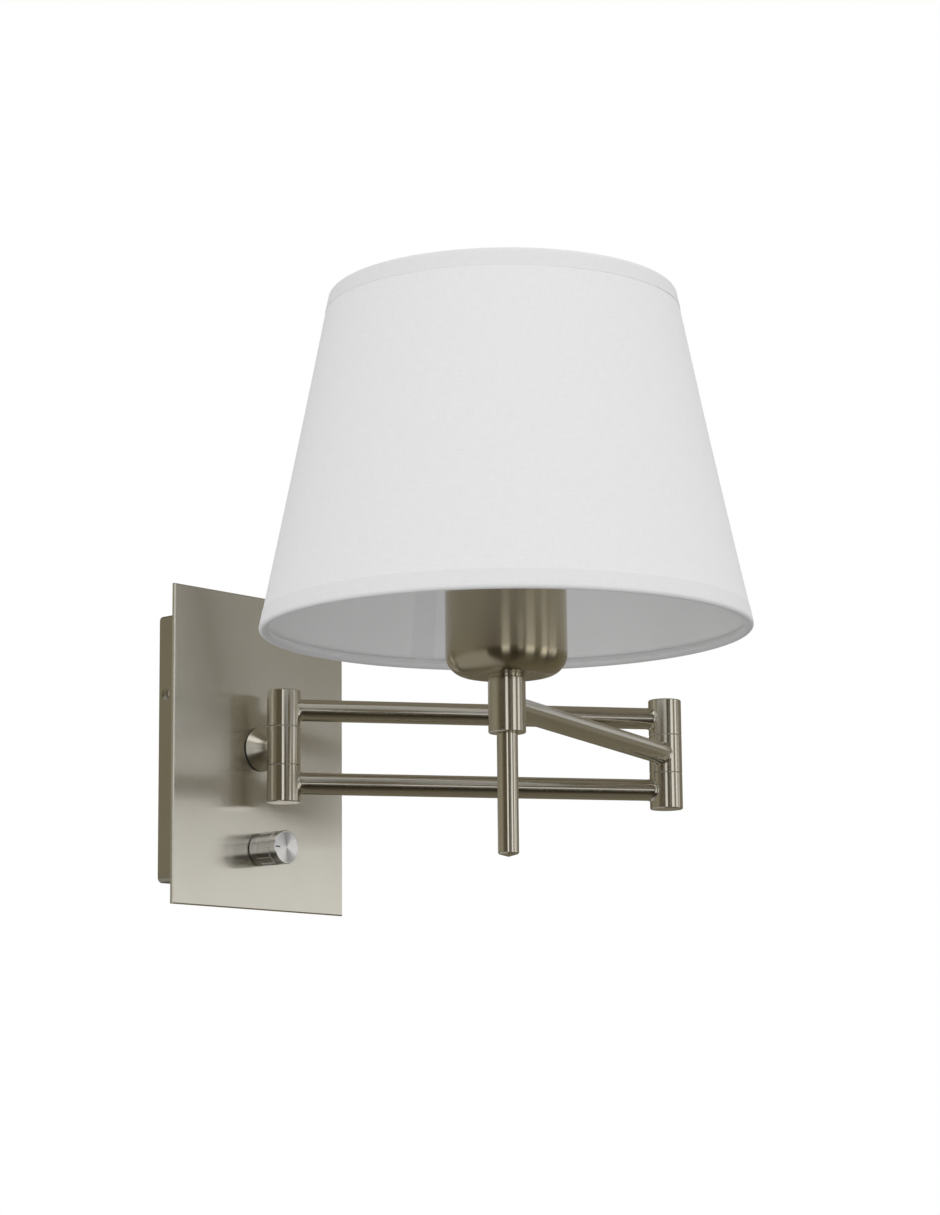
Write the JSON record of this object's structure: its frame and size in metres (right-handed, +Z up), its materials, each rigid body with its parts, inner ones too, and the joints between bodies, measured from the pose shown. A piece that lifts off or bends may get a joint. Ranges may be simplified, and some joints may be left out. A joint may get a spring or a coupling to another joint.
{
  "type": "swing-arm wall lamp",
  "caption": "Wall-mounted double swing-arm reading lamp: rectangular box with dimmer knob, twin-rod first arm, single second arm, socket cup, tapered fabric shade and grip rod.",
  "frame": {"origin": "centre of the wall bracket's back face, on the wall plane, at the middle of the front plate's width and height", "axes": "+X to the right along the wall as seen from the room, +Y into the wall, +Z up; the arms stand out towards -Y"},
  "size_m": [0.343, 0.3599, 0.301],
  "materials": {
    "nickel_plate": "brushed nickel, flat sheet",
    "nickel_turned": "brushed nickel, turned and drawn parts",
    "nickel_cup": "satin nickel, spun cup",
    "knob_aluminium": "turned and spun aluminium",
    "zinc_steel": "zinc plated sheet and screws",
    "brass": "turned brass",
    "nylon": "natural nylon",
    "terminal_plastic": "white moulded plastic",
    "dimmer_plastic": "black moulded plastic",
    "holder_plastic": "white lampholder plastic",
    "lead_insulation": "cable insulation",
    "shade_linen": "off-white laminated weave",
    "shade_lining": "smooth white lining",
    "shade_wire": "white powder-coated wire",
    "opal_glass": "opal white",
    "bulb_cap_metal": "nickel plated cap"
  },
  "bodies": {
    "wall_unit": {"wall_bracket": "zinc_steel", "back_box": "nickel_plate", "front_plate": "nickel_plate", "box_side_screws": "nickel_turned", "hinge_boss": "nickel_turned", "boss_washer": "zinc_steel", "boss_nut": "zinc_steel", "wall_knuckle": "nickel_turned", "dimmer_body": "dimmer_plastic", "dimmer_bush": "brass", "dimmer_nut": "zinc_steel", "terminal_block": "terminal_plastic", "terminal_screws": "zinc_steel", "box_leads": "lead_insulation", "earth_screw": "brass"},
    "dimmer_knob": {"knob_body": "knob_aluminium", "knob_face": "knob_aluminium", "knob_grub_screw": "zinc_steel", "dimmer_shaft": "zinc_steel"},
    "arm_1": {"arm_1_upper_tube": "nickel_turned", "arm_1_lower_tube": "nickel_turned", "hinge_1_upper_knuckle": "nickel_turned", "hinge_1_lower_knuckle": "nickel_turned", "hinge_1_pivot": "zinc_steel", "hinge_2_upper_knuckle": "nickel_turned", "hinge_2_lower_knuckle": "nickel_turned", "hinge_2_pivot": "zinc_steel", "pivot_nuts": "zinc_steel", "knuckle_end_caps": "nickel_turned", "friction_washers": "nylon", "arm_1_leads": "lead_insulation"},
    "lamp_arm": {"hinge_2_middle_knuckle": "nickel_turned", "arm_2_tube": "nickel_turned", "arm_2_leads": "lead_insulation", "lamp_sleeve": "nickel_turned", "handle_stem": "nickel_turned", "threaded_nipple": "zinc_steel", "sleeve_collar": "nickel_turned", "socket_cup": "nickel_cup", "cup_nut": "zinc_steel", "lampholder_body": "holder_plastic", "lampholder_shell": "brass", "lampholder_contacts": "brass", "shade_ring_nut": "holder_plastic", "shade_carrier": "shade_wire", "shade_fabric": "shade_linen", "shade_liner": "shade_lining", "shade_hem_top": "shade_linen", "shade_hem_bottom": "shade_linen", "shade_wire_top": "shade_wire", "shade_wire_bottom": "shade_wire", "bulb_cap": "bulb_cap_metal", "bulb_glass": "opal_glass"}
  },
  "joints": [
    {"name": "wall_hinge", "type": "hinge", "parent": "wall_unit", "child": "arm_1", "pos_m": [0, -0.0453, 0.0015], "axis": [0, 0, 1], "range_deg": [-48, 24]},
    {"name": "elbow_hinge", "type": "hinge", "parent": "arm_1", "child": "lamp_arm", "pos_m": [0.17899, -0.17063, 0.0015], "axis": [0, 0, 1], "range_deg": [-7, 128]},
    {"name": "dimmer_turn", "type": "hinge", "parent": "wall_unit", "child": "dimmer_knob", "pos_m": [0, -0.0276, -0.054], "axis": [0, 1, 0], "range_deg": [-60, 240]}
  ]
}
